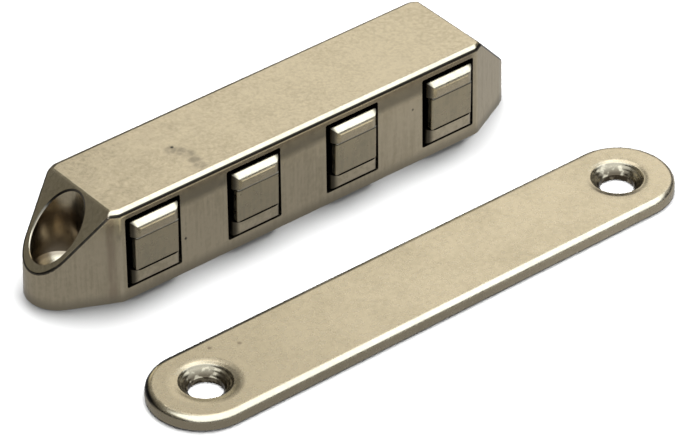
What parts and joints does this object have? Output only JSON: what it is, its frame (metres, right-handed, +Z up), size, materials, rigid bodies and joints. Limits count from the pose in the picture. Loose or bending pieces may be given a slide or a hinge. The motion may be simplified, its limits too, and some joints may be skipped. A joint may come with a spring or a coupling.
{
  "type": "magnetic catch",
  "caption": "Slim die-cast magnetic catch with magnet cassettes floating in a row of windows, and its flat round-ended strike plate with countersunk screw holes.",
  "frame": {"origin": "centre of the catch's base, on the plane that it is screwed down on", "axes": "+X along the catch, +Y away from the pole faces, so the poles look to -Y, +Z up from the mounting surface"},
  "size_m": [0.09, 0.0468, 0.0148],
  "materials": {
    "satin_nickel": "satin nickel plate on a zinc casting",
    "base_steel": "pressed steel, dull zinc plate",
    "strike_nickel": "satin nickel plate on pressed steel",
    "pole_steel": "nickel plate on tumbled steel",
    "magnet_plating": "nickel plate on a sintered magnet"
  },
  "bodies": {
    "catch_body": {"housing": "satin_nickel", "base_plate": "base_steel", "strike_plate": "strike_nickel"},
    "cassette_1": {"lower_pole_1": "pole_steel", "magnet_1": "magnet_plating", "upper_pole_1": "pole_steel"},
    "cassette_2": {"lower_pole_2": "pole_steel", "magnet_2": "magnet_plating", "upper_pole_2": "pole_steel"},
    "cassette_3": {"lower_pole_3": "pole_steel", "magnet_3": "magnet_plating", "upper_pole_3": "pole_steel"},
    "cassette_4": {"lower_pole_4": "pole_steel", "magnet_4": "magnet_plating", "upper_pole_4": "pole_steel"}
  },
  "joints": [
    {"name": "cassette_1_float", "type": "slide", "parent": "catch_body", "child": "cassette_1", "axis": [0, -1, 0], "range_m": [-0.0006, 0.0003]},
    {"name": "cassette_2_float", "type": "slide", "parent": "catch_body", "child": "cassette_2", "axis": [0, -1, 0], "range_m": [-0.0006, 0.0003]},
    {"name": "cassette_3_float", "type": "slide", "parent": "catch_body", "child": "cassette_3", "axis": [0, -1, 0], "range_m": [-0.0006, 0.0003]},
    {"name": "cassette_4_float", "type": "slide", "parent": "catch_body", "child": "cassette_4", "axis": [0, -1, 0], "range_m": [-0.0006, 0.0003]}
  ]
}
